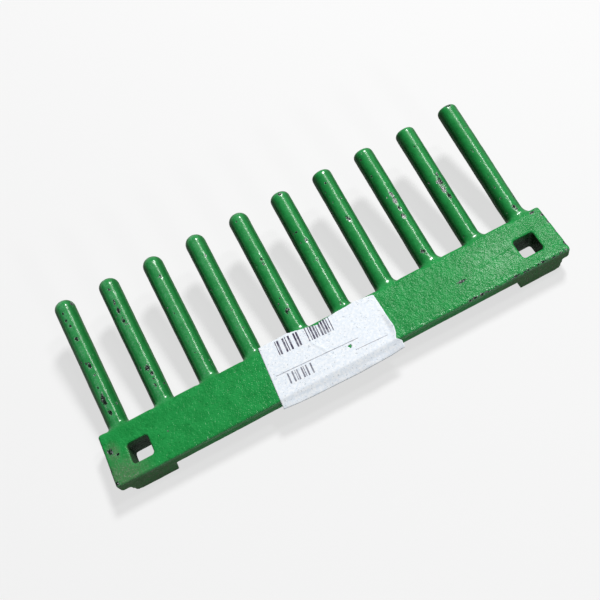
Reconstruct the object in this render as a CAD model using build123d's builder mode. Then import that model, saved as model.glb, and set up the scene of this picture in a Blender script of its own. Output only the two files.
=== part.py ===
"""A rake tine casting: a flat bar with a row of round tines, bolted on through two square holes."""
from build123d import *
import math
import os

os.makedirs("parts", exist_ok=True)

# Lengths are in millimetres and angles in degrees. X runs along the bar, Y towards the tips of the
# tines and Z out of the front face. Z = 0 is the plane of the two seats that are bolted down.

# The bar, a flat bar with lightly rounded edges. It is as long as its row of tines needs.
bar_height = 32.7
bar_thickness = 8.2
bar_corner_radius = 1.5
front_edge_radius = 1.2
back_edge_radius = 0.8

# The square holes, which take the square necks of two carriage bolts.
bolt_from_left_end = 19.2
bolt_from_right_end = 18.1
bolt_above_lower_edge = 14.0
bolt_square = 12.5
bolt_corner_radius = 1.6
bolt_mouth_radius = 0.5

# The pads round the holes, which stand behind the bar and taper towards their seats.
pad_height = 8.2
pad_width = 27.8
pad_draft = 1.3
pad_outer_radius = 2.5

# The tines, which lean forward out of the plane of the bar and end in blunt, rounded tips.
tine_count = 10
tine_pitch = 28.0
tine_from_left_end = 11.7
tine_from_right_end = 12.8
tine_diameter = 12.2
tine_length = 83.0
tine_lean = 12.7
tine_setback = 0.8
tine_tip_radius = 4.0
tine_root_depth = 3.0
tine_root_radius = 2.4

# The paper label, stuck on slightly askew and folded round the lower edge.
label_thickness = 0.2
label_width = 70.5
label_height = 46.0
label_from_left_end = 100.0
label_corner_above_bar = 1.6
label_turn = 2.8

bar_length = tine_from_left_end + tine_pitch * (tine_count - 1) + tine_from_right_end
bolt_spacing = bar_length - bolt_from_left_end - bolt_from_right_end
bar_left = -bolt_spacing / 2 - bolt_from_left_end
bar_centre = bar_left + bar_length / 2
lower_edge = -bolt_above_lower_edge
upper_edge = lower_edge + bar_height
middle_height = (lower_edge + upper_edge) / 2
front_face = pad_height + bar_thickness
bolt_places = [(-bolt_spacing / 2, 0), (bolt_spacing / 2, 0)]
tine_radius = tine_diameter / 2
tine_places = [(bar_left + tine_from_left_end + tine_pitch * i, 0, 0) for i in range(tine_count)]

# The front of a tine lies a little behind the front face where it leaves the bar's upper edge.
lean = math.radians(tine_lean)
tine_root = Vector(0, upper_edge, front_face - tine_setback - tine_radius / math.cos(lean))
tine_axis = Vector(0, math.cos(lean), math.sin(lean))
tine_start = Plane(tine_root - tine_axis * tine_root_depth, x_dir=(1, 0, 0), z_dir=tine_axis)

# The bar.
with BuildPart() as bar:
    with BuildSketch(Plane.XY.offset(pad_height)):
        with Locations((bar_centre, middle_height)):
            RectangleRounded(bar_length, bar_height, bar_corner_radius)
    extrude(amount=bar_thickness)
    fillet(bar.faces().sort_by(Axis.Z)[-1].edges(), front_edge_radius)
    fillet(bar.faces().sort_by(Axis.Z)[0].edges(), back_edge_radius)

# The pads keep flush with the bar's lower edge, so only their other three sides are tapered.
with BuildPart() as pads:
    for x, y in bolt_places:
        with BuildSketch(Plane.XY.offset(pad_height + back_edge_radius)):
            with Locations((x, lower_edge)):
                Rectangle(pad_width, pad_width, align=(Align.CENTER, Align.MIN))
        with BuildSketch(Plane.XY):
            with Locations((x, lower_edge)):
                Rectangle(pad_width - 2 * pad_draft, pad_width - pad_draft, align=(Align.CENTER, Align.MIN))
        loft()
    seat_edges = pads.edges().group_by(Axis.Z)[0].filter_by(Axis.Y).sort_by(Axis.X)
    fillet([seat_edges[0], seat_edges[-1]], pad_outer_radius)

# A tine widens where it meets the bar's upper edge, over the flat part of that edge only.
with BuildPart() as root_flare:
    with BuildSketch(Plane(tine_root, x_dir=(1, 0, 0), z_dir=(0, -tine_axis.Z, tine_axis.Y))):
        with BuildLine():
            Polyline(
                (0, tine_root_radius),
                (0, -tine_root_depth),
                (tine_radius + tine_root_radius, -tine_root_depth),
                (tine_radius + tine_root_radius, 0),
            )
            RadiusArc((tine_radius + tine_root_radius, 0), (tine_radius, tine_root_radius), tine_root_radius)
            Line((tine_radius, tine_root_radius), (0, tine_root_radius))
        make_face()
    revolve(axis=Axis(tine_root, tine_axis))
    with BuildSketch(Plane.XY.offset(pad_height + back_edge_radius)):
        with Locations((0, upper_edge)):
            Rectangle(tine_pitch, tine_pitch)
    extrude(amount=bar_thickness - back_edge_radius - front_edge_radius, mode=Mode.INTERSECT)

# One tine with its rounded tip. Its root ends in a ball that stands out behind the bar.
with BuildPart() as tine:
    with BuildSketch(tine_start):
        Circle(tine_radius)
    extrude(amount=tine_root_depth + tine_length)
    tip = tine.faces().filter_by(GeomType.PLANE).sort_by(Axis.Y)[-1]
    fillet(tip.edges(), tine_tip_radius)
    with Locations(tine_start):
        Sphere(tine_radius)
    add(root_flare.part)

# The casting: bar, pads and tines are poured in one piece, with the square holes cast through.
with BuildPart() as comb_casting:
    add(bar.part)
    add(pads.part)
    with Locations(tine_places):
        add(tine.part)
    with BuildSketch():
        with Locations(bolt_places):
            RectangleRounded(bolt_square, bolt_square, bolt_corner_radius)
    extrude(amount=front_face, mode=Mode.SUBTRACT)
    hole_mouths = comb_casting.faces().filter_by(Axis.Z).sort_by(Axis.Z)[-1].inner_wires()
    fillet([edge for mouth in hole_mouths for edge in mouth.edges()], bolt_mouth_radius)


def corner_section(skin):
    """Section across the bar's lower front corner, grown all round by a skin."""
    with BuildSketch() as section:
        with Locations((lower_edge - skin, front_face + skin)):
            Rectangle(label_height, label_height, align=(Align.MIN, Align.MAX))
        fillet(section.vertices().group_by(Axis.X)[0].sort_by(Axis.Y)[-1], front_edge_radius + skin)
    return section.sketch


# The paper label: down the front face, round the lower edge, along the underside and past the back.
# What its height leaves below the front face lies along the underside.
label_end = front_face - (label_height - label_corner_above_bar - bar_height)
with BuildPart() as paper_label:
    with BuildSketch(Plane.YZ.offset(bar_left)):
        add(corner_section(label_thickness))
        add(corner_section(0), mode=Mode.SUBTRACT)
    extrude(amount=bar_length)
    label_corner = (bar_left + label_from_left_end, upper_edge + label_corner_above_bar)
    with BuildSketch():
        with Locations(Location(label_corner, -label_turn)):
            Rectangle(label_width, label_height, align=(Align.MIN, Align.MAX))
    extrude(amount=front_face + label_thickness, mode=Mode.INTERSECT)
    with BuildSketch(Plane.XZ.offset(-upper_edge - label_corner_above_bar)):
        with Locations(Location((label_corner[0], label_end), -label_turn)):
            Rectangle(label_width * 2, label_height, align=(Align.CENTER, Align.MIN))
    extrude(amount=label_height, mode=Mode.INTERSECT)

comb_casting.part.label = "comb_casting"
paper_label.part.label = "paper_label"
export_step(comb_casting.part, "parts/comb_casting.step")
export_step(paper_label.part, "parts/paper_label.step")
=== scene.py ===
"""A rake tine casting in green enamel, with a paper label stuck across the middle of its bar."""
import bmesh
import bpy
import math
import numpy as np
from mathutils import Matrix, Vector, noise


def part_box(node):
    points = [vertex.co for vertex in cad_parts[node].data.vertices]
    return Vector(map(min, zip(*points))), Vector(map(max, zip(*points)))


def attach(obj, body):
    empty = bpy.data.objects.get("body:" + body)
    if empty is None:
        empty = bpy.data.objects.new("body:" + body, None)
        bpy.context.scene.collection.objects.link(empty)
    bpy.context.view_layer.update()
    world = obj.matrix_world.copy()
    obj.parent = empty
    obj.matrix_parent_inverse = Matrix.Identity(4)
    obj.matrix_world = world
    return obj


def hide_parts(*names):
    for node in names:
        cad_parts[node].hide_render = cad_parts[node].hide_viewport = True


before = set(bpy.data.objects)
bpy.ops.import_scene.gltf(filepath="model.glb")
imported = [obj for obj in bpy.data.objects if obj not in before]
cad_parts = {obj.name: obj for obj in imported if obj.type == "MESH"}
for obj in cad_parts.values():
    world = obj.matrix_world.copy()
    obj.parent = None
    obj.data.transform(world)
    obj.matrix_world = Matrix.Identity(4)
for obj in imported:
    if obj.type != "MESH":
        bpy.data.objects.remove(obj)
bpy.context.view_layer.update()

# The comb casting: a bar, two pads behind it and ten tines in grey iron, poured in one piece in a
# sand mould. Its edges and roots are soft from the mould, and no two tines came out quite alike.

mm = 0.001
casting_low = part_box("comb_casting")[0]
left_end = casting_low.x
lower_edge = casting_low.y
bar_height = 32.7 * mm
bar_thickness = 8.2 * mm
front_face = 16.4 * mm
back_face = front_face - bar_thickness
upper_edge = lower_edge + bar_height

tine_pitch = 28.0 * mm
first_tine = left_end + 11.7 * mm
tine_radius = 6.1 * mm
tine_lean = math.radians(12.7)
tine_setback = 0.8 * mm
tine_root_depth = 3.0 * mm
tine_axis = Vector((0, math.cos(tine_lean), math.sin(tine_lean)))
tine_front = Vector((0, -math.sin(tine_lean), math.cos(tine_lean)))
root_z = front_face - tine_setback - tine_radius / math.cos(tine_lean)

# For each tine, from the left end: how long it is, how round its tip is, and how far its root and
# its tip stray sideways, all in mm.
tines = [
    {"length": 84.2, "tip": 5.3, "root_off": 0.15, "tip_off": -0.7},
    {"length": 83.7, "tip": 5.0, "root_off": 0.2, "tip_off": -0.4},
    {"length": 83.7, "tip": 5.8, "root_off": 0.4, "tip_off": -0.1},
    {"length": 83.7, "tip": 5.8, "root_off": -0.15, "tip_off": -0.3},
    {"length": 83.2, "tip": 5.4, "root_off": 0.4, "tip_off": 0.1},
    {"length": 82.5, "tip": 4.0, "root_off": -0.15, "tip_off": -0.3},
    {"length": 82.0, "tip": 2.6, "root_off": -0.2, "tip_off": -0.3},
    {"length": 82.2, "tip": 3.0, "root_off": 0.1, "tip_off": -0.5},
    {"length": 81.5, "tip": 2.5, "root_off": -0.2, "tip_off": -0.5},
    {"length": 82.2, "tip": 2.5, "root_off": 0.5, "tip_off": 0.3},
]
root_fillet_left = 2.6 * mm
root_fillet_right = 3.4 * mm
root_fillet_growth = 0.35 * mm
square_power = 0.3
ring_points = 48
ring_spacing = 1.0 * mm
end_rings = 8


def tine_profile(length, tip):
    """Distance along a tine and radius there, from inside the bar to the middle of the tip."""
    rings = []
    for k in range(1, end_rings + 1):
        turn = math.pi / 2 * k / end_rings
        rings.append((-tine_root_depth - tine_radius * math.cos(turn), tine_radius * math.sin(turn)))
    shaft = length - tip + tine_root_depth
    count = round(shaft / ring_spacing)
    rings += [(shaft * k / count - tine_root_depth, tine_radius) for k in range(1, count + 1)]
    for k in range(1, end_rings):
        turn = math.pi / 2 * k / end_rings
        rings.append((length - tip + tip * math.sin(turn), tine_radius - tip + tip * math.cos(turn)))
    return rings


def root_fillet(along, turn, number):
    """How much wider a tine is beside its root, and how square it is there. The fillets lie within
    the bar's thickness, and those to the right grow from tine to tine."""
    right = math.sin(turn) > 0
    fillet = root_fillet_right + number * root_fillet_growth if right else root_fillet_left
    behind_bar = root_z + tine_radius * math.cos(turn) < back_face
    if behind_bar or not -tine_root_depth < along <= fillet:
        return 0.0, 0.0
    height = fillet - max(along, 0.0)
    wider = fillet - math.sqrt(fillet ** 2 - height ** 2)
    return wider, math.sqrt(wider / fillet)


def squared(value, share):
    """A sine or cosine pushed outwards by a share, so that a ring becomes a rounded square."""
    return value * (1 - share) + math.copysign(abs(value) ** square_power, value) * share


def add_tine(mesh, number, tine):
    """One tine, turned round its own leaning axis, with its root deep in the bar."""
    root = Vector((first_tine + number * tine_pitch, upper_edge, root_z))
    length = tine["length"] * mm
    last_ring = None
    for along, radius in tine_profile(length, tine["tip"] * mm):
        stray = tine["root_off"] + (tine["tip_off"] - tine["root_off"]) * along / length
        middle = root + tine_axis * along + Vector((stray * mm, 0, 0))
        ring = []
        for k in range(ring_points):
            turn = 2 * math.pi * k / ring_points
            wider, share = root_fillet(along, turn, number)
            side = Vector((squared(math.sin(turn), share) * (radius + wider), 0, 0))
            forward = math.cos(turn)
            if forward > 0:
                forward = squared(forward, share)
            ring.append(mesh.verts.new(middle + side + tine_front * forward * radius))
        if last_ring is None:
            mesh.faces.new(reversed(ring))
        else:
            for k in range(ring_points):
                after = (k + 1) % ring_points
                mesh.faces.new((last_ring[k], last_ring[after], ring[after], ring[k]))
        last_ring = ring
    mesh.faces.new(last_ring)


# The bar with its pads and square holes is cut off just above the roots, and new tines are set in
# it.
cut_height = upper_edge + 0.2 * mm
same_point = 0.002 * mm
on_the_cut = 1e-7
work = bmesh.new()
work.from_mesh(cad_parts["comb_casting"].data)
bmesh.ops.remove_doubles(work, verts=work.verts, dist=same_point)
cut = bmesh.ops.bisect_plane(
    work, geom=work.verts[:] + work.edges[:] + work.faces[:], dist=on_the_cut,
    plane_co=(0, cut_height, 0), plane_no=(0, 1, 0), clear_outer=True,
)
rim = [part for part in cut["geom_cut"] if isinstance(part, bmesh.types.BMEdge)]
bmesh.ops.holes_fill(work, edges=rim, sides=0)
for number, tine in enumerate(tines):
    add_tine(work, number, tine)
rough = bpy.data.meshes.new("rough_casting")
work.to_mesh(rough)
work.free()

casting = bpy.data.objects.new("painted_casting", rough)
bpy.context.scene.collection.objects.link(casting)
voxel = 0.7 * mm


def settle(piece):
    """Applies a piece's modifiers to its mesh."""
    graph = bpy.context.evaluated_depsgraph_get()
    piece.data = bpy.data.meshes.new_from_object(piece.evaluated_get(graph))
    piece.modifiers.clear()


skin = casting.modifiers.new("skin", "REMESH")
skin.mode = "VOXEL"
skin.voxel_size = voxel
soften = casting.modifiers.new("soften", "SMOOTH")
soften.factor = 0.5
soften.iterations = 2
settle(casting)


def vertex_values(mesh, name, width):
    """One value or vector for each vertex of a mesh, as an array."""
    values = np.empty(len(mesh.vertices) * width)
    mesh.vertices.foreach_get(name, values)
    return values.reshape(-1, width)


def ease(values):
    """Eases from 0 to 1 as the values go from 0 to 1, and stays level outside."""
    held = np.clip(values, 0, 1)
    return held * held * (3 - 2 * held)


def near(distance, reach):
    """1 where a distance is well inside a reach, easing to 0 a little beyond it."""
    return ease(1.6 - distance / reach)


def grain(places, size, seed=0.0):
    """Smooth noise from -1 to 1 with lumps of one size, read at each place."""
    shift = Vector((seed, seed * 1.7, -seed))
    return np.array([noise.noise(Vector(place) / size + shift) for place in places.tolist()])


# The smoothed corners between tines and bar. The front one runs a little above the bar's edge and
# inside its face, and reaches to each side of a tine. The back one goes round each root.
front_corner_above = 0.8 * mm
front_corner_inside = 1.4 * mm
front_corner_reach = 2.6 * mm
front_corner_side = 8.0 * mm
front_corner_fade = 2.0 * mm
back_corner_reach = 1.5 * mm
smoothing_share = 0.6
smoothing_rounds = 24


def blend_roots(mesh):
    """Runs each tine smoothly into the bar's front and back, as the mould's filleted corners do."""
    places = vertex_values(mesh, "co", 3)
    pairs = np.empty(len(mesh.edges) * 2, np.int64)
    mesh.edges.foreach_get("vertices", pairs)
    one, other = pairs.reshape(-1, 2).T
    neighbours = np.bincount(np.concatenate((one, other)), minlength=len(places))[:, None]
    beside = np.abs((places[:, 0] - first_tine + tine_pitch / 2) % tine_pitch - tine_pitch / 2)
    up = places[:, 1] - upper_edge - front_corner_above
    out = places[:, 2] - front_face + front_corner_inside
    in_front = near(np.hypot(up, out), front_corner_reach)
    in_front *= ease((front_corner_side - beside) / front_corner_fade)
    from_root = np.stack((beside, places[:, 1] - upper_edge, places[:, 2] - root_z), axis=1)
    along = np.maximum(from_root @ np.array(tine_axis), -tine_root_depth)
    apart = np.linalg.norm(from_root - along[:, None] * np.array(tine_axis), axis=1)
    behind = near(np.abs(apart - tine_radius), back_corner_reach)
    behind *= near(np.abs(places[:, 2] - back_face), back_corner_reach)
    share = smoothing_share * np.maximum(in_front, behind)[:, None]
    for _ in range(smoothing_rounds):
        total = np.zeros_like(places)
        for axis in range(3):
            total[:, axis] = np.bincount(one, places[other, axis], len(places))
            total[:, axis] += np.bincount(other, places[one, axis], len(places))
        places += share * (total / neighbours - places)
    mesh.vertices.foreach_set("co", places.ravel())
    mesh.update()


blend_roots(casting.data)


def on_tine(number, along, turn):
    """A place on a tine's skin: tines count from 1 at the left, along is in mm from the bar's upper
    edge, and turn is in degrees from the tine's front towards the right."""
    root = Vector((first_tine + (number - 1) * tine_pitch, upper_edge, root_z))
    turn = math.radians(turn)
    side = Vector((math.sin(turn), 0, 0)) + tine_front * math.cos(turn)
    return root + tine_axis * along * mm + side * tine_radius


def on_front(from_left, above_lower):
    """A place on the bar's front face, in mm from its left end and its lower edge."""
    return Vector((left_end + from_left * mm, lower_edge + above_lower * mm, front_face))


# Where the enamel is knocked off the tines: tine, distance along it, turn round it, length and width,
# in mm and degrees.
tine_chips = [
    (1, 75, -16, 1.4, 1.2), (1, 70, -17, 1.6, 1.4), (1, 66, -6, 2.4, 1.5), (1, 57, -4, 3.0, 2.2),
    (1, 42, -13, 1.6, 1.6), (1, 40, 2, 3.4, 2.2), (1, 26, -8, 1.4, 1.2), (1, 18, -7, 7.5, 3.0),
    (1, 10, -3, 4.0, 2.2), (1, 83, -40, 2.6, 2.2), (1, 84, 30, 2.4, 2.6), (1, 79, 58, 3.4, 2.6),
    (2, 83, -20, 3.4, 3.0), (2, 83, 40, 3.4, 3.6), (2, 75, -2, 1.8, 1.6), (2, 67, -5, 3.5, 1.4),
    (2, 61, -3, 5.0, 1.8), (2, 54, -2, 4.5, 1.6), (2, 23, 4, 3.4, 2.8), (2, 19, 16, 2.4, 2.0),
    (2, 12, 6, 2.2, 1.6), (3, 68, 13, 2.2, 1.4), (3, 84, 10, 1.6, 1.8), (4, 83, 20, 1.8, 1.6),
    (5, 81, 20, 2.4, 2.4), (5, 49, 10, 3.0, 1.6), (5, 15, 3, 3.2, 2.6), (6, 80, 6, 2.6, 2.6),
    (6, 54, -18, 1.6, 1.4), (6, 47, 9, 3.0, 1.8), (7, 46, 6, 2.6, 2.0), (7, 60, 25, 1.4, 1.2),
    (8, 48, 10, 3.0, 2.4), (8, 43, 8, 5.0, 2.4), (8, 38, 9, 3.0, 2.0), (8, 33, 6, 3.2, 2.6),
    (8, 9, -3, 3.0, 2.4), (9, 46, 16, 3.0, 2.0), (9, 41, 10, 6.0, 3.2), (9, 36, 4, 5.0, 3.0),
    (9, 31, 13, 3.0, 2.4), (10, 7, 15, 3.4, 2.2), (10, 81, 14, 3.0, 3.4), (10, 76, 62, 4.0, 2.4),
    (10, 66, 66, 6.0, 2.0), (10, 52, 70, 5.0, 1.4), (10, 14, 60, 4.5, 2.0), (10, 22, 64, 3.0, 1.2),
]
# The same for the bar's front: distance from its left end, height above its lower edge, length along
# the bar and width.
bar_chips = [
    (36.5, 15.3, 1.0, 0.9), (216.0, 13.1, 4.6, 1.9), (3.6, 20.5, 3.0, 4.4), (6.8, 17.0, 1.8, 1.8),
    (275.6, 27.0, 2.0, 3.0), (276.0, 21.0, 1.6, 4.0), (276.2, 14.0, 1.6, 3.4), (276.0, 5.0, 2.0, 4.0),
    (0.3, 10.0, 1.0, 6.0), (0.3, 26.0, 1.0, 4.0), (0.8, 2.0, 3.0, 2.2), (271.0, 30.5, 3.0, 1.6),
]
# How many smaller chips are strewn over the tines, and over the left and right of the lower edge.
strewn_on_tines = 110
strewn_on_right_edge = 46
strewn_on_left_edge = 14
strewing_seed = 7


def enamel_chips():
    """Every chip as its middle, its long direction, its length and its width."""
    chips = [(on_tine(tine, along, turn), tine_axis, long, wide)
             for tine, along, turn, long, wide in tine_chips]
    along_bar = Vector((1, 0, 0))
    chips += [(on_front(left, low), along_bar, long, wide) for left, low, long, wide in bar_chips]
    dice = np.random.default_rng(strewing_seed)
    for _ in range(strewn_on_tines):
        size = dice.uniform(0.5, 1.1)
        place = on_tine(dice.integers(1, len(tines) + 1), dice.uniform(4, 82), dice.normal(5, 35))
        chips.append((place, tine_axis, size * dice.uniform(1, 2), size))
    for _ in range(strewn_on_right_edge):
        size = dice.uniform(0.8, 2.0)
        place = on_front(dice.triangular(205, 274, 277), dice.uniform(-0.2, 0.8))
        chips.append((place, along_bar, size * dice.uniform(1, 2.6), size))
    for _ in range(strewn_on_left_edge):
        place = on_front(dice.uniform(2, 200), 0.2)
        chips.append((place, along_bar, dice.uniform(0.6, 1.6), 0.8))
    return chips


chips = enamel_chips()


def chipped(places):
    """How far each place is inside a chip: 1 in its middle, 0 at its rim and below that outside."""
    cover = np.full(len(places), -1.0)
    for middle, direction, long, wide in chips:
        reach = places - np.array(middle)
        close = np.flatnonzero((reach ** 2).sum(1) < (long * mm) ** 2)
        along = reach[close] @ np.array(direction)
        across = np.sqrt(np.maximum((reach[close] ** 2).sum(1) - along ** 2, 0))
        inside = 1 - np.hypot(along / (long / 2 * mm), across / (wide / 2 * mm))
        cover[close] = np.maximum(cover[close], inside)
    return cover


# Thin raised lines that the mould left on the bar's front, each from one point to another in mm from
# its left end and lower edge.
raised_lines = [
    ((21.8, 25.7), (27.4, 21.3)), ((229.9, 15.8), (249.5, 17.8)), ((262.0, 21.5), (267.5, 24.0)),
]
raised_line_reach = 0.9 * mm

# The skin's heights and depths in mm, and the size of its pebbles.
slow_wave_height = 0.10
short_wave_height = 0.05
raised_line_height = 0.22
pebble_height = 0.05
chip_depth = 0.18
pebble_size = 1.9 * mm


def skin_waves(places):
    """The slow unevenness of the cast skin, in mm."""
    slow = slow_wave_height * grain(places, 16 * mm)
    return slow + short_wave_height * grain(places, 6 * mm, seed=3.1)


def raised(places):
    """How much of a raised line's height each place has."""
    height = np.zeros(len(places))
    for start, end in raised_lines:
        start = np.array(on_front(*start))
        along = np.array(on_front(*end)) - start
        share = np.clip((places - start) @ along / (along @ along), 0, 1)
        apart = np.linalg.norm(places - start - share[:, None] * along, axis=1)
        height = np.maximum(height, ease(1 - apart / raised_line_reach))
    return height


def roughen(mesh):
    """The cast skin: slow waves, pebbling, raised lines and the hollows where the enamel is chipped."""
    places = vertex_values(mesh, "co", 3)
    outward = vertex_values(mesh, "normal", 3)
    pebbles = pebble_height * grain(places, pebble_size, seed=5.3)
    hollows = chip_depth * ease(chipped(places) * 1.6 + 0.3)
    height = skin_waves(places) + pebbles + raised_line_height * raised(places) - hollows
    places += outward * (height * mm)[:, None]
    mesh.vertices.foreach_set("co", places.ravel())
    mesh.update()


roughen(casting.data)
casting_triangles = 190000
thin_out = casting.modifiers.new("thin_out", "DECIMATE")
thin_out.ratio = casting_triangles / (len(casting.data.polygons) * 2)
settle(casting)
casting.data.shade_smooth()


def mark(mesh, name, values):
    """Keeps a value for each vertex under a name that a material can read."""
    layer = mesh.attributes.new(name, "FLOAT", "POINT")
    layer.data.foreach_set("value", values.astype(np.float32))


root_fade = 4 * mm
hole_spacing = 239.2 * mm
hole_width = 12.5 * mm
hole_rim = 0.85 * mm
hole_rim_fade = 0.7 * mm
hole_shade_depth = 1.2 * mm


def on_bar(places):
    """1 on the bar and 0 on the tines, easing over at the roots."""
    return ease((upper_edge - places[:, 1]) / root_fade + 0.5)


def on_flanks(places, outward):
    """Where a place lies on the side of a tine."""
    towards_front = outward[:, 2]
    sideways = ease((1.0 - towards_front) / 0.38) * ease((towards_front + 0.6) / 0.5)
    return sideways * (1 - on_bar(places))


def under_bar(places, outward):
    """Where a place lies on the bar's underside or on its pads' undersides."""
    above = (places[:, 1] - lower_edge) / mm
    depth = (front_face - places[:, 2]) / mm
    return ease(-outward[:, 1] * 1.6 - 0.4) * ease((2 - above) / 2) * ease(depth - 0.8)


def in_holes(places):
    """Where a place lies on the walls of the two square holes, below their rims."""
    from_middle = np.maximum(np.abs(np.abs(places[:, 0]) - hole_spacing / 2), np.abs(places[:, 1]))
    inside = ease((hole_width / 2 + hole_rim - from_middle) / hole_rim_fade)
    return inside * ease((front_face - places[:, 2]) / hole_shade_depth - 0.3)


# How thickly dust and rubbed-in dirt lie in each place where they gather, from 0 to 1.
grime_underneath_left = 0.14
grime_underneath_right = 0.05
grime_under_pads = 0.70
grime_in_left_corner = 0.54
grime_in_patch = 0.5
grime_behind = 0.6
grime_on_ends = 0.6
grime_on_tine_sides = 0.4


def grimy(places, outward):
    """How thickly dust and dirt dull the enamel: underneath, behind, at the ends and on the tines."""
    from_left = (places[:, 0] - left_end) / mm
    above = (places[:, 1] - lower_edge) / mm
    above_bar = above - bar_height / mm
    on_face = ease(3 - (front_face - places[:, 2]) / mm)
    near_pads = np.maximum(ease((60 - from_left) / 40), ease((from_left - 215) / 30))
    mostly = np.where(from_left < 140, grime_underneath_left, grime_underneath_right)
    below = under_bar(places, outward) * (mostly + (grime_under_pads - mostly) * near_pads)
    left_corner = ease(1.25 - np.hypot((from_left - 6) / 17, (above - 3) / 13)) * on_face
    patch = ease(1.4 - np.hypot((from_left - 5) / 4, (above - 19) / 6)) * on_face
    behind = ease(-outward[:, 2] * 2)
    ends = ease(np.abs(outward[:, 0]) * 2 - 1) * ease(-above_bar / 2)
    tine_sides = ease((0.45 - outward[:, 2]) / 0.4) * ease((above_bar - 2) / 4)
    return np.max((
        below, grime_in_left_corner * left_corner, grime_in_patch * patch, grime_behind * behind,
        grime_on_ends * ends, grime_on_tine_sides * tine_sides,
    ), axis=0)


tine_gloss = 0.85
bar_gloss = 0.15
edge_gloss = 0.60
gloss_lost = 0.85
edge_reach = 2.2 * mm
edge_fade = 0.8 * mm


def glossy(places, outward):
    """How glossy the enamel is: most on the tines' fronts and least underneath, in the holes and on
    the flanks, with a glossy line along the bar's lower front edge."""
    gloss = tine_gloss + (bar_gloss - tine_gloss) * on_bar(places)
    dull = np.maximum(in_holes(places), under_bar(places, outward))
    gloss *= 1 - gloss_lost * np.maximum(dull, on_flanks(places, outward))
    from_edge = np.hypot(places[:, 1] - lower_edge, places[:, 2] - front_face)
    return np.maximum(gloss, edge_gloss * ease((edge_reach - from_edge) / edge_fade))


tine_pebbling = 0.16
bar_pebbling = 0.84
smoothed_away = 0.5
smooth_spot_middle = on_front(238, 16)
smooth_spot_reach = (24, 13, 30)


def pebbly(places):
    """How strongly the enamel is pebbled: faintly on the tines, more on the bar, and less in one spot
    of it that was rubbed smooth."""
    from_spot = (places - np.array(smooth_spot_middle)) / np.array(smooth_spot_reach) / mm
    smooth_spot = ease(1.3 - np.linalg.norm(from_spot, axis=1))
    return tine_pebbling + (bar_pebbling - smoothed_away * smooth_spot) * on_bar(places)


def scuffs_and_sheen(places, outward):
    """How much the tines' fronts are paled, most of all those at the left: partly scuffs, partly a
    painted sheen beside the highlight.
    """
    facing_front = ease(1.3 - np.abs(outward[:, 0] + 0.08) / 0.28) * ease(outward[:, 2] * 4)
    fronts = facing_front * (1 - on_bar(places))
    from_left = places[:, 0] - left_end
    return fronts * np.interp(from_left, (40 * mm, 100 * mm, 150 * mm), (1.0, 0.65, 0.2))


# The holes' walls are painted dark green below their rims: painted shade.
painted_hole_shade = 0.85
# The tines' flanks are painted a darker green: painted shade where the light falls off round their
# sides.
painted_flank_shade_share = 0.70
skin_places = vertex_values(casting.data, "co", 3)
skin_outward = vertex_values(casting.data, "normal", 3)
mark(casting.data, "bare", 0.5 + 0.5 * chipped(skin_places))
mark(casting.data, "hole", painted_hole_shade * in_holes(skin_places))
mark(casting.data, "gloss", glossy(skin_places, skin_outward))
mark(casting.data, "pebbly", pebbly(skin_places))
mark(casting.data, "grime", grimy(skin_places, skin_outward))
mark(casting.data, "painted_flank_shade", painted_flank_shade_share * on_flanks(skin_places, skin_outward))
mark(casting.data, "scuffs_and_sheen", scuffs_and_sheen(skin_places, skin_outward))

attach(casting, "root")
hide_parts("comb_casting")


def add_node(tree, kind, *inputs, **settings):
    """A shader node. Settings in capitals are its inputs by name, and the rest its properties."""
    made = tree.nodes.new(kind)
    named = {name: value for name, value in settings.items() if name[0].isupper()}
    for name, value in settings.items():
        if name not in named:
            setattr(made, name, value)
    fed = list(zip(made.inputs, inputs)) + [(made.inputs[name], value) for name, value in named.items()]
    for socket, value in fed:
        if isinstance(value, bpy.types.NodeSocket):
            tree.links.new(value, socket)
        elif value is not None:
            socket.default_value = value
    return made


def sums(tree, operation, first, second=None, third=None):
    """The result of one arithmetic node."""
    return add_node(tree, "ShaderNodeMath", first, second, third, operation=operation).outputs[0]


def noise_of(tree, size, detail=2.0, roughness=0.55):
    """Noise from 0 to 1 in the object's own space, with lumps of the size given."""
    space = add_node(tree, "ShaderNodeTexCoord").outputs["Object"]
    made = add_node(tree, "ShaderNodeTexNoise", Vector=space, Scale=1 / size, Detail=detail,
                    Roughness=roughness)
    return made.outputs["Fac"]


def between(tree, value, low, high, start=0.0, end=1.0):
    """A value mapped smoothly from one range to another, and held at its ends."""
    return add_node(tree, "ShaderNodeMapRange", value, low, high, start, end,
                    interpolation_type="SMOOTHSTEP").outputs["Result"]


def blend_colours(tree, share, first, second):
    """Two colours mixed by a share from 0 to 1."""
    mixer = add_node(tree, "ShaderNodeMix", data_type="RGBA")
    for name, value in (("Factor_Float", share), ("A_Color", first), ("B_Color", second)):
        socket = next(s for s in mixer.inputs if s.identifier == name)
        if isinstance(value, bpy.types.NodeSocket):
            tree.links.new(value, socket)
        else:
            socket.default_value = value
    return next(s for s in mixer.outputs if s.identifier == "Result_Color")


def kept_value(tree, name):
    """A value that the mesh keeps for each vertex."""
    return add_node(tree, "ShaderNodeAttribute", attribute_name=name).outputs["Fac"]


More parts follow.
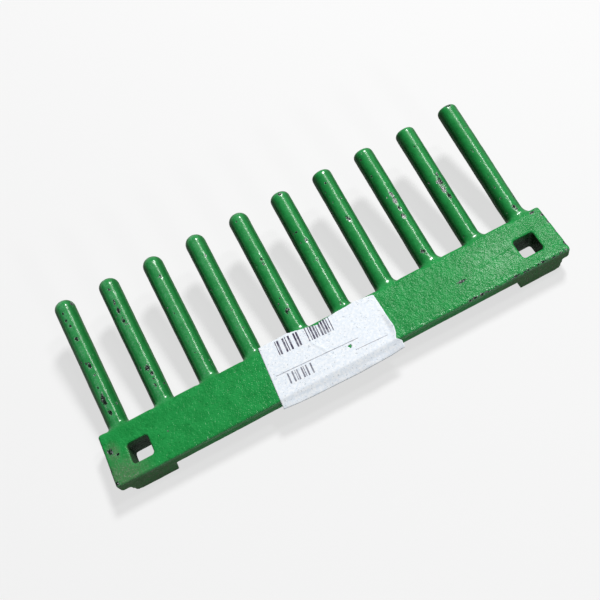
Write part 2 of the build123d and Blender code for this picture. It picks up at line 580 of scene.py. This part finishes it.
# Some of these colours are painted light: the darker greens for the pebbles' hollows, the tines' flanks
# and the holes are painted shade, the pale scuffed green is partly a painted sheen, and the pale rim
# green and the bright iron are partly painted highlights.
deep_green = (0.011, 0.235, 0.048, 1)
leaf_green = (0.017, 0.29, 0.064, 1)
speck_green = (0.05, 0.36, 0.10, 1)
painted_hollow_shade_green = (0.004, 0.14, 0.024, 1)
scuff_and_sheen_green = (0.13, 0.36, 0.19, 1)
painted_flank_shade_green = (0.004, 0.070, 0.012, 1)
painted_hole_shade_green = (0.008, 0.040, 0.012, 1)
rim_and_highlight_green = (0.11, 0.31, 0.15, 1)
dirt_grey = (0.125, 0.150, 0.100, 1)
dust_grey = (0.34, 0.42, 0.33, 1)
dark_iron = (0.008, 0.014, 0.011, 1)
bright_iron_and_glint = (0.34, 0.40, 0.37, 1)
mottle_size = 7 * mm
speck_size = 0.8 * mm
enamel_bump = 0.44 * mm


def green_enamel():
    """Green enamel over rough iron, dusty in places, with pale rims and dark metal in its chips. Shade
    is painted on the tines' flanks, in the pebbles' hollows and in the holes, a painted sheen lies
    partly in the tines' pale front band, and the chips' pale rims and light iron flecks are partly
    painted highlights.
    """
    material = bpy.data.materials.new("green_enamel")
    material.use_nodes = True
    tree = material.node_tree
    shader = tree.nodes["Principled BSDF"]
    mottle = noise_of(tree, mottle_size, 4.0)
    peel = noise_of(tree, pebble_size, 2.0)
    speck = noise_of(tree, speck_size, 2.0)
    enamel = blend_colours(tree, between(tree, mottle, 0.3, 0.7), deep_green, leaf_green)
    enamel = blend_colours(tree, between(tree, speck, 0.60, 0.72, 0.0, 0.45), enamel, speck_green)
    # The hollows of the pebbling are painted darker: painted shade.
    enamel = blend_colours(tree, between(tree, peel, 0.30, 0.42, 0.35, 0.0), enamel, painted_hollow_shade_green)

    # A paler band on the tines' fronts: partly scuffs, partly a painted sheen beside the highlight.
    scuff_and_sheen_share = between(tree, speck, 0.35, 0.70, 0.15, 0.75)
    scuff_and_sheen_share = sums(tree, "MULTIPLY", scuff_and_sheen_share, kept_value(tree, "scuffs_and_sheen"))
    scuff_and_sheen_share = sums(tree, "MULTIPLY", scuff_and_sheen_share, between(tree, mottle, 0.35, 0.60, 0.4, 1.0))
    enamel = blend_colours(tree, scuff_and_sheen_share, enamel, scuff_and_sheen_green)
    # Painted shade on the tines' flanks.
    enamel = blend_colours(tree, kept_value(tree, "painted_flank_shade"), enamel, painted_flank_shade_green)

    grime = kept_value(tree, "grime")
    dirt = sums(tree, "MULTIPLY", grime, between(tree, speck, 0.25, 0.65, 0.45, 1.15))
    dust_and_shade = blend_colours(tree, dirt, enamel, dirt_grey)
    fleck = sums(tree, "MULTIPLY", between(tree, speck, 0.60, 0.68), sums(tree, "MULTIPLY", grime, 0.6))
    dust_and_shade = blend_colours(tree, fleck, dust_and_shade, dust_grey)
    # Painted shade on the holes' walls.
    dust_and_shade = blend_colours(tree, kept_value(tree, "hole"), dust_and_shade, painted_hole_shade_green)

    ragged = sums(tree, "MULTIPLY_ADD", peel, 0.9, speck)
    edge = sums(tree, "ADD", sums(tree, "SUBTRACT", ragged, 0.95), kept_value(tree, "bare"))
    # The chips' pale rims and the light flecks in their iron are partly painted highlights.
    rim = sums(tree, "MULTIPLY", between(tree, edge, 0.40, 0.47), 0.7)
    bare = between(tree, edge, 0.50, 0.54)
    rimmed = blend_colours(tree, rim, dust_and_shade, rim_and_highlight_green)
    iron = blend_colours(tree, between(tree, speck, 0.58, 0.66), dark_iron, bright_iron_and_glint)
    tree.links.new(blend_colours(tree, bare, rimmed, iron), shader.inputs["Base Color"])

    dull = sums(tree, "MAXIMUM", sums(tree, "MULTIPLY", dirt, 0.4), sums(tree, "MULTIPLY", bare, 0.3))
    tree.links.new(sums(tree, "ADD", 0.45, dull), shader.inputs["Roughness"])
    shader.inputs["Specular IOR Level"].default_value = 0.05
    clean = between(tree, dirt, 0.0, 0.7, 1.0, 0.1)
    coat = sums(tree, "MULTIPLY", clean, kept_value(tree, "gloss"))
    tree.links.new(coat, shader.inputs["Coat Weight"])
    shader.inputs["Coat Roughness"].default_value = 0.21
    height = sums(tree, "MULTIPLY_ADD", speck, 0.5, peel)
    height = sums(tree, "MULTIPLY_ADD", bare, -0.3, height)
    height = sums(tree, "MULTIPLY", height, kept_value(tree, "pebbly"))
    bump = add_node(tree, "ShaderNodeBump", Strength=1.0, Distance=enamel_bump, Height=height)
    tree.links.new(bump.outputs["Normal"], shader.inputs["Normal"])
    tree.links.new(bump.outputs["Normal"], shader.inputs["Coat Normal"])
    return material


casting.data.materials.clear()
casting.data.materials.append(green_enamel())

# The paper label: a sheet of white paper stuck a little askew across the bar. It was pressed down on
# the face and bent over the lower edge, where it stands off the iron, and its upper edge is torn.

label_width = 70.5 * mm
label_height = 42 * mm
label_turn = math.radians(2.8)
label_corner = Vector((left_end + 100.0 * mm, upper_edge + 1.6 * mm))
label_bend_radius = 1.2 * mm
label_bend = math.radians(20)
label_curl_radius = 30 * mm
label_thickness = 0.12 * mm
label_clearance = 0.20 * mm
least_clearance = 0.1 * mm
label_cell = 0.5 * mm

# The label's edges in mm: how far down its torn top and its bottom lie, by the distance across it,
# and how far its right edge stands out, by the distance down it. Its left edge leans a little.
label_top = [
    (0, 0.0), (17.8, -1.0), (27.6, 0.5), (35.9, 2.2), (36.3, 1.1), (43.9, 0.3), (58.1, -1.2),
    (68.0, -0.6), (69.8, -0.3), (70.5, 0.3),
]
label_bottom = [
    (0, 38.8), (9, 39.2), (17, 39.2), (27, 38.9), (43, 38.5), (53, 37.8), (63, 37.0), (70.5, 35.9),
]
label_right = [
    (0, 0.0), (7.5, 0.7), (16.5, 1.2), (23.0, 1.8), (26.5, 1.2), (29.8, -0.3), (30.6, 0.9),
    (32.0, 2.2), (40.0, 1.9),
]
left_edge_lean = 0.012
torn_raggedness = 0.25 * mm
right_raggedness = 0.12 * mm

# The small hole worn through the label, in mm across and down it.
worn_hole_across = 46.1
worn_hole_down = 22.2
worn_hole_radius = 0.55


def along_edge(edge, distance):
    """An edge of the label, read at distances in metres."""
    return np.interp(distance / mm, [point[0] for point in edge], [point[1] for point in edge]) * mm


def bend_paper(across, down, lift):
    """Places on the label from distances across and down it, and a height off the iron."""
    sideways = label_corner.x + across * math.cos(label_turn) - down * math.sin(label_turn)
    up = label_corner.y - across * math.sin(label_turn) - down * math.cos(label_turn)
    bend_start = lower_edge + label_bend_radius
    turn = np.clip((bend_start - up) / label_bend_radius, 0, label_bend)
    beyond = np.maximum(bend_start - up - label_bend_radius * label_bend, 0)
    reach = label_bend_radius + lift
    curled = label_bend + beyond / label_curl_radius
    y = np.maximum(up, bend_start) - np.sin(turn) * reach
    z = front_face - label_bend_radius + np.cos(turn) * reach
    y -= label_curl_radius * (np.sin(curled) - np.sin(label_bend))
    z -= label_curl_radius * (np.cos(label_bend) - np.cos(curled))
    return np.stack((sideways, y, z), axis=1)


def paper_relief(flat, across, down, share_across, share_down):
    """How far the paper rises of its own accord, in mm: its wrinkles, the creases in its middle, the
    curl of its right and lower edges, and a dent in its upper right corner."""
    wrinkles = 0.12 * grain(flat, 9 * mm, seed=1.2) + 0.05 * grain(flat, 3.5 * mm, seed=2.6)
    creases = 0.22 * (1 - np.minimum(1, np.abs(grain(flat * [1, 0.45, 1], 7 * mm, seed=6.1)) * 9))
    creases *= ease(1 - np.abs(share_across - 0.42) / 0.2) * ease(1 - np.abs(share_down - 0.4) / 0.4)
    curl = 0.8 * ease((share_across - 0.955) / 0.045) * ease(1 - np.abs(down / mm - 20) / 14)
    curl += 0.5 * ease((share_down - 0.9) / 0.1) * (1 + grain(flat, 12 * mm, seed=9.9))
    dent = -0.25 * ease(1 - np.abs((across / mm - 69) * 0.85 - (down / mm - 1.8) * 0.5) / 0.5)
    dent *= ease(1 - np.abs(down / mm - 2) / 2)
    return 0.5 * wrinkles * ease(share_down * 8) + creases + curl + dent


def label_sheet():
    """The label as a grid of cells, wrinkled and bent to the iron."""
    columns = round(label_width / label_cell)
    rows = round(label_height / label_cell)
    share_across, share_down = np.meshgrid(np.linspace(0, 1, columns + 1), np.linspace(0, 1, rows + 1))
    share_across = share_across.ravel()
    share_down = share_down.ravel()
    top = along_edge(label_top, share_across * label_width)
    bottom = along_edge(label_bottom, share_across * label_width)
    down = top + (bottom - top) * share_down
    across = share_across * (label_width + along_edge(label_right, down))
    across -= left_edge_lean * down * (1 - share_across)
    flat = np.stack((across, down, np.zeros_like(down)), axis=1)
    down += torn_raggedness * grain(flat, 2.3 * mm, seed=8.8) * ease(1 - share_down * 12)
    across += right_raggedness * grain(flat, 3.1 * mm, seed=4.4) * ease(share_across * 20 - 19)

    iron = skin_waves(bend_paper(across, down, np.zeros_like(down)))
    lift = iron * ease(30 - down / mm) + paper_relief(flat, across, down, share_across, share_down)
    lift = np.maximum(label_clearance + lift * mm, least_clearance + iron * mm)
    places = bend_paper(across, down, lift)

    from_hole = np.hypot(across / mm - worn_hole_across, down / mm - worn_hole_down)
    from_hole += 0.5 * grain(flat, 0.9 * mm, seed=3.3)
    cells = []
    for row in range(rows):
        for column in range(columns):
            first = row * (columns + 1) + column
            corners = (first, first + columns + 1, first + columns + 2, first + 1)
            if min(from_hole[corner] for corner in corners) > worn_hole_radius:
                cells.append(corners)
    mesh = bpy.data.meshes.new("stuck_label")
    mesh.from_pydata(places.tolist(), [], cells)
    mark(mesh, "across", across / mm)
    mark(mesh, "down", down / mm)
    return mesh


label = bpy.data.objects.new("stuck_label", label_sheet())
bpy.context.scene.collection.objects.link(label)
paper = label.modifiers.new("paper", "SOLIDIFY")
paper.thickness = label_thickness
paper.offset = -1
settle(label)
label.data.shade_smooth()
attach(label, "root")
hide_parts("paper_label")

# The label's plain print: two fields of stripes and two thin rules, each as its left, right, top and
# bottom in mm, and how wide the stripes are and how dark each is against the upper field.
upper_field = (8.3, 42.3, 0.6, 9.4)
lower_field = (8.6, 23.0, 21.2, 27.6)
upper_rule = (3, 52, 19.7, 20.1)
lower_rule = (48, 67, 25.6, 25.9)
upper_stripe_width = 0.55
lower_stripe_width = 0.45
lower_stripe_ink = 0.8
rule_ink = 0.6
cloud_white = (0.74, 0.80, 0.87, 1)
paper_white = (0.86, 0.885, 0.91, 1)
speck_grey = (0.30, 0.34, 0.38, 1)
faded_ink = (0.045, 0.035, 0.075, 1)


def inside_of(tree, value, low, high, soft):
    """1 where a value lies between two limits, with soft ends."""
    over_low = between(tree, value, low - soft, low)
    return sums(tree, "MULTIPLY", over_low, between(tree, value, high + soft, high))


def in_field(tree, across, down, field, soft_across=0.1, soft_down=0.1):
    """1 inside a field of the label, with soft edges."""
    left, right, top, bottom = field
    return sums(tree, "MULTIPLY", inside_of(tree, across, left, right, soft_across),
                inside_of(tree, down, top, bottom, soft_down))


def stripes(tree, across, down, field, width, seed):
    """Ink in upright stripes of uneven widths that fill a field of the label."""
    column = sums(tree, "FLOOR", sums(tree, "DIVIDE", across, width))
    dice = add_node(tree, "ShaderNodeTexWhiteNoise", W=sums(tree, "ADD", column, seed),
                    noise_dimensions="1D")
    inked = sums(tree, "GREATER_THAN", dice.outputs["Value"], 0.32)
    gap_every_third = sums(tree, "GREATER_THAN", sums(tree, "MODULO", column, 3), 0.5)
    inked = sums(tree, "MULTIPLY", inked, gap_every_third)
    return sums(tree, "MULTIPLY", inked, in_field(tree, across, down, field, 0.05, 0.15))


def label_paper():
    """White paper with faint clouds and specks, and the faded print of plain stripes and rules."""
    material = bpy.data.materials.new("label_paper")
    material.use_nodes = True
    tree = material.node_tree
    shader = tree.nodes["Principled BSDF"]
    across = kept_value(tree, "across")
    down = kept_value(tree, "down")
    clouds = noise_of(tree, 1.5 * mm, 3.0)
    specks = noise_of(tree, 1.0 * mm, 1.0)
    paper = blend_colours(tree, between(tree, clouds, 0.38, 0.66), cloud_white, paper_white)
    paper = blend_colours(tree, between(tree, specks, 0.66, 0.72, 0.0, 0.55), paper, speck_grey)

    upper = stripes(tree, across, down, upper_field, upper_stripe_width, seed=17)
    lower = stripes(tree, across, down, lower_field, lower_stripe_width, seed=5)
    ink = sums(tree, "MAXIMUM", upper, sums(tree, "MULTIPLY", lower, lower_stripe_ink))
    rules = sums(tree, "MAXIMUM", in_field(tree, across, down, upper_rule),
                 in_field(tree, across, down, lower_rule))
    ink = sums(tree, "MAXIMUM", ink, sums(tree, "MULTIPLY", rules, rule_ink))
    fading = between(tree, noise_of(tree, 4.0 * mm, 3.0), 0.3, 0.6, 0.70, 1.0)
    printed = blend_colours(tree, sums(tree, "MULTIPLY", ink, fading), paper, faded_ink)
    tree.links.new(printed, shader.inputs["Base Color"])
    shader.inputs["Roughness"].default_value = 0.6
    shader.inputs["Specular IOR Level"].default_value = 0.2
    bump = add_node(tree, "ShaderNodeBump", Strength=0.6, Distance=0.05 * mm, Height=clouds)
    tree.links.new(bump.outputs["Normal"], shader.inputs["Normal"])
    return material


label.data.materials.clear()
label.data.materials.append(label_paper())

# The floor is a plain pale sheet just under the comb. It throws little light back up, and keeps the
# comb's shadow.

floor_reach = 3.0
floor_drop = 0.1 * mm
floor_grey = (0.22, 0.22, 0.22, 1)
floor_glow = 0.68
floor_mesh = bpy.data.meshes.new("floor")
floor_corners = [(x * floor_reach, y * floor_reach, 0) for x, y in ((-1, -1), (1, -1), (1, 1), (-1, 1))]
floor_mesh.from_pydata(floor_corners, [], [(0, 1, 2, 3)])
floor = bpy.data.objects.new("floor", floor_mesh)
floor.location.z = -floor_drop
bpy.context.scene.collection.objects.link(floor)


def seen_directly(tree, strength):
    """A strength for rays from the camera, and for mirrored and refracted ones, and 0 for the rest."""
    path = add_node(tree, "ShaderNodeLightPath").outputs
    seen = sums(tree, "MAXIMUM", path["Is Camera Ray"], path["Is Glossy Ray"])
    seen = sums(tree, "MAXIMUM", seen, path["Is Transmission Ray"])
    return sums(tree, "MULTIPLY", seen, strength)


pale = bpy.data.materials.new("pale_floor")
pale.use_nodes = True
pale_tree = pale.node_tree
pale_shader = pale_tree.nodes["Principled BSDF"]
pale_shader.inputs["Base Color"].default_value = floor_grey
pale_shader.inputs["Roughness"].default_value = 0.9
pale_shader.inputs["Specular IOR Level"].default_value = 0.0
pale_shader.inputs["Emission Color"].default_value = (1, 1, 1, 1)
pale_tree.links.new(seen_directly(pale_tree, floor_glow), pale_shader.inputs["Emission Strength"])
floor_mesh.materials.append(pale)

# A low pale screen stands all round the floor, well away from the comb.

screen_height = 1.4
screen_sides = 64
screen_ring = []
for k in range(screen_sides):
    turn = 2 * math.pi * k / screen_sides
    screen_ring.append((floor_reach * math.cos(turn), floor_reach * math.sin(turn)))
screen_mesh = bpy.data.meshes.new("screen")
screen_mesh.from_pydata(
    [(x, y, 0) for x, y in screen_ring] + [(x, y, screen_height) for x, y in screen_ring], [],
    [(k, (k + 1) % screen_sides, (k + 1) % screen_sides + screen_sides, k + screen_sides)
     for k in range(screen_sides)],
)
screen = bpy.data.objects.new("screen", screen_mesh)
bpy.context.scene.collection.objects.link(screen)
screen_mesh.materials.append(pale)

# Three round soft boxes light the comb: a large one from the upper right, a smaller one beside it
# for the edges, and a weak low one from the front. The room adds a little light from all round.

middle = Vector((0, upper_edge, back_face))
lamp_distance = 2.0
room_light = 0.055


def place_looking(thing, place, target, roll=0.0):
    """Sets a lamp or the camera at a place, turned to face a target."""
    look = (target - place).to_track_quat("-Z", "Y").to_matrix().to_4x4()
    thing.matrix_world = Matrix.Translation(place) @ look @ Matrix.Rotation(roll, 4, "Z")


def hang_lamp(name, direction, size, energy):
    """A round soft box that hangs in one direction from the comb."""
    lamp = bpy.data.lights.new(name, "AREA")
    lamp.shape = "DISK"
    lamp.size = size
    lamp.energy = energy
    box = bpy.data.objects.new(name, lamp)
    bpy.context.scene.collection.objects.link(box)
    place_looking(box, middle + Vector(direction).normalized() * lamp_distance, middle)


hang_lamp("soft_box", direction=(0.44, 0.43, 0.79), size=0.42, energy=42)
hang_lamp("edge_light", direction=(0.60, 0.12, 1), size=0.26, energy=7)
hang_lamp("low_fill", direction=(0.19, -0.90, 0.38), size=0.25, energy=6.5)

world = bpy.data.worlds.new("room")
world.use_nodes = True
background = world.node_tree.nodes["Background"]
background.inputs["Color"].default_value = (1, 1, 1, 1)
background.inputs["Strength"].default_value = room_light
bpy.context.scene.world = world

# The camera looks down at the comb from in front of its bar, turned a little about its own axis.

camera_place = Vector((-30.16, -193.76, 437.85)) * mm
camera_target = Vector((-5.383, 35.384, 16.4)) * mm
camera_roll = math.radians(-22.109)
camera_lens = bpy.data.cameras.new("camera")
camera_lens.sensor_width = 36
camera_lens.lens = 51.08
camera = bpy.data.objects.new("camera", camera_lens)
bpy.context.scene.collection.objects.link(camera)
place_looking(camera, camera_place, camera_target, camera_roll)
bpy.context.scene.camera = camera
bpy.context.scene.view_settings.view_transform = "Standard"
